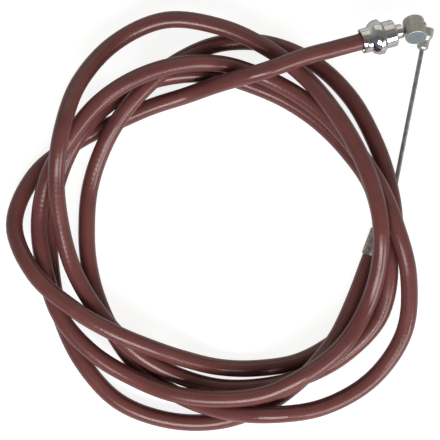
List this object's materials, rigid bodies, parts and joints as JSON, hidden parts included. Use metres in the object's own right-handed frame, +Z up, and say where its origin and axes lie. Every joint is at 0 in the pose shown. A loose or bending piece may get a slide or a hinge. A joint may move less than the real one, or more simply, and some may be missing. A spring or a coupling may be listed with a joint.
{
  "type": "sheathed control cable",
  "caption": "Coiled plastic-sheathed wire cable with a stepped ferrule and barrel nipple on one end, a plain end cap and pear nipple on the other.",
  "frame": {"origin": "centre of the footprint, on the surface the coil lies on", "axes": "+Z up, out of the plane of the coil; +X towards the side where both ends leave the coil; +Y towards the nipples"},
  "size_m": [0.1392, 0.1354, 0.0233],
  "materials": {
    "jacket": "satin dark red-brown plastic sheath",
    "conduit": "plain wound steel",
    "liner": "plain natural plastic",
    "wire": "galvanised stranded steel",
    "ferrule_plating": "bright plated",
    "cast_nipple": "dull cast zinc grey",
    "cap_zinc": "dull mottled zinc plating"
  },
  "bodies": {
    "casing": {"casing_jacket": "jacket", "casing_conduit": "conduit", "casing_liner": "liner", "inner_wire_middle": "wire", "end_cap": "cap_zinc"},
    "ferrule": {"stepped_ferrule": "ferrule_plating"},
    "barrel_end": {"barrel_nipple": "cast_nipple", "wire_tail": "wire", "inner_wire_barrel_end": "wire"},
    "pear_end": {"pear_nipple": "cast_nipple", "exposed_wire_core": "wire", "exposed_wire_strand_01": "wire", "exposed_wire_strand_02": "wire", "exposed_wire_strand_03": "wire", "exposed_wire_strand_04": "wire", "exposed_wire_strand_05": "wire", "exposed_wire_strand_06": "wire", "exposed_wire_strand_07": "wire", "exposed_wire_strand_08": "wire", "exposed_wire_strand_09": "wire", "exposed_wire_strand_10": "wire", "exposed_wire_strand_11": "wire", "exposed_wire_strand_12": "wire"}
  },
  "joints": [
    {"name": "ferrule_spin", "type": "hinge", "parent": "casing", "child": "ferrule", "pos_m": [0.04507, 0.05776, 0.01151], "axis": [0.9564, 0.2652, -0.1219], "continuous": true},
    {"name": "barrel_slide", "type": "slide", "parent": "casing", "child": "barrel_end", "axis": [0.9564, 0.2652, -0.1219], "range_m": [0, 0.03]},
    {"name": "pear_slide", "type": "slide", "parent": "casing", "child": "pear_end", "axis": [-0.1925, -0.9813, 0.0052], "range_m": [0, 0.03], "deforming": ["exposed_wire_core", "exposed_wire_strand_01", "exposed_wire_strand_02", "exposed_wire_strand_03", "exposed_wire_strand_04", "exposed_wire_strand_05", "exposed_wire_strand_06", "exposed_wire_strand_07", "exposed_wire_strand_08", "exposed_wire_strand_09", "exposed_wire_strand_10", "exposed_wire_strand_11", "exposed_wire_strand_12"]}
  ],
  "couplings": [
    {"joint": "pear_slide", "follows": "barrel_slide", "ratio": 1}
  ]
}
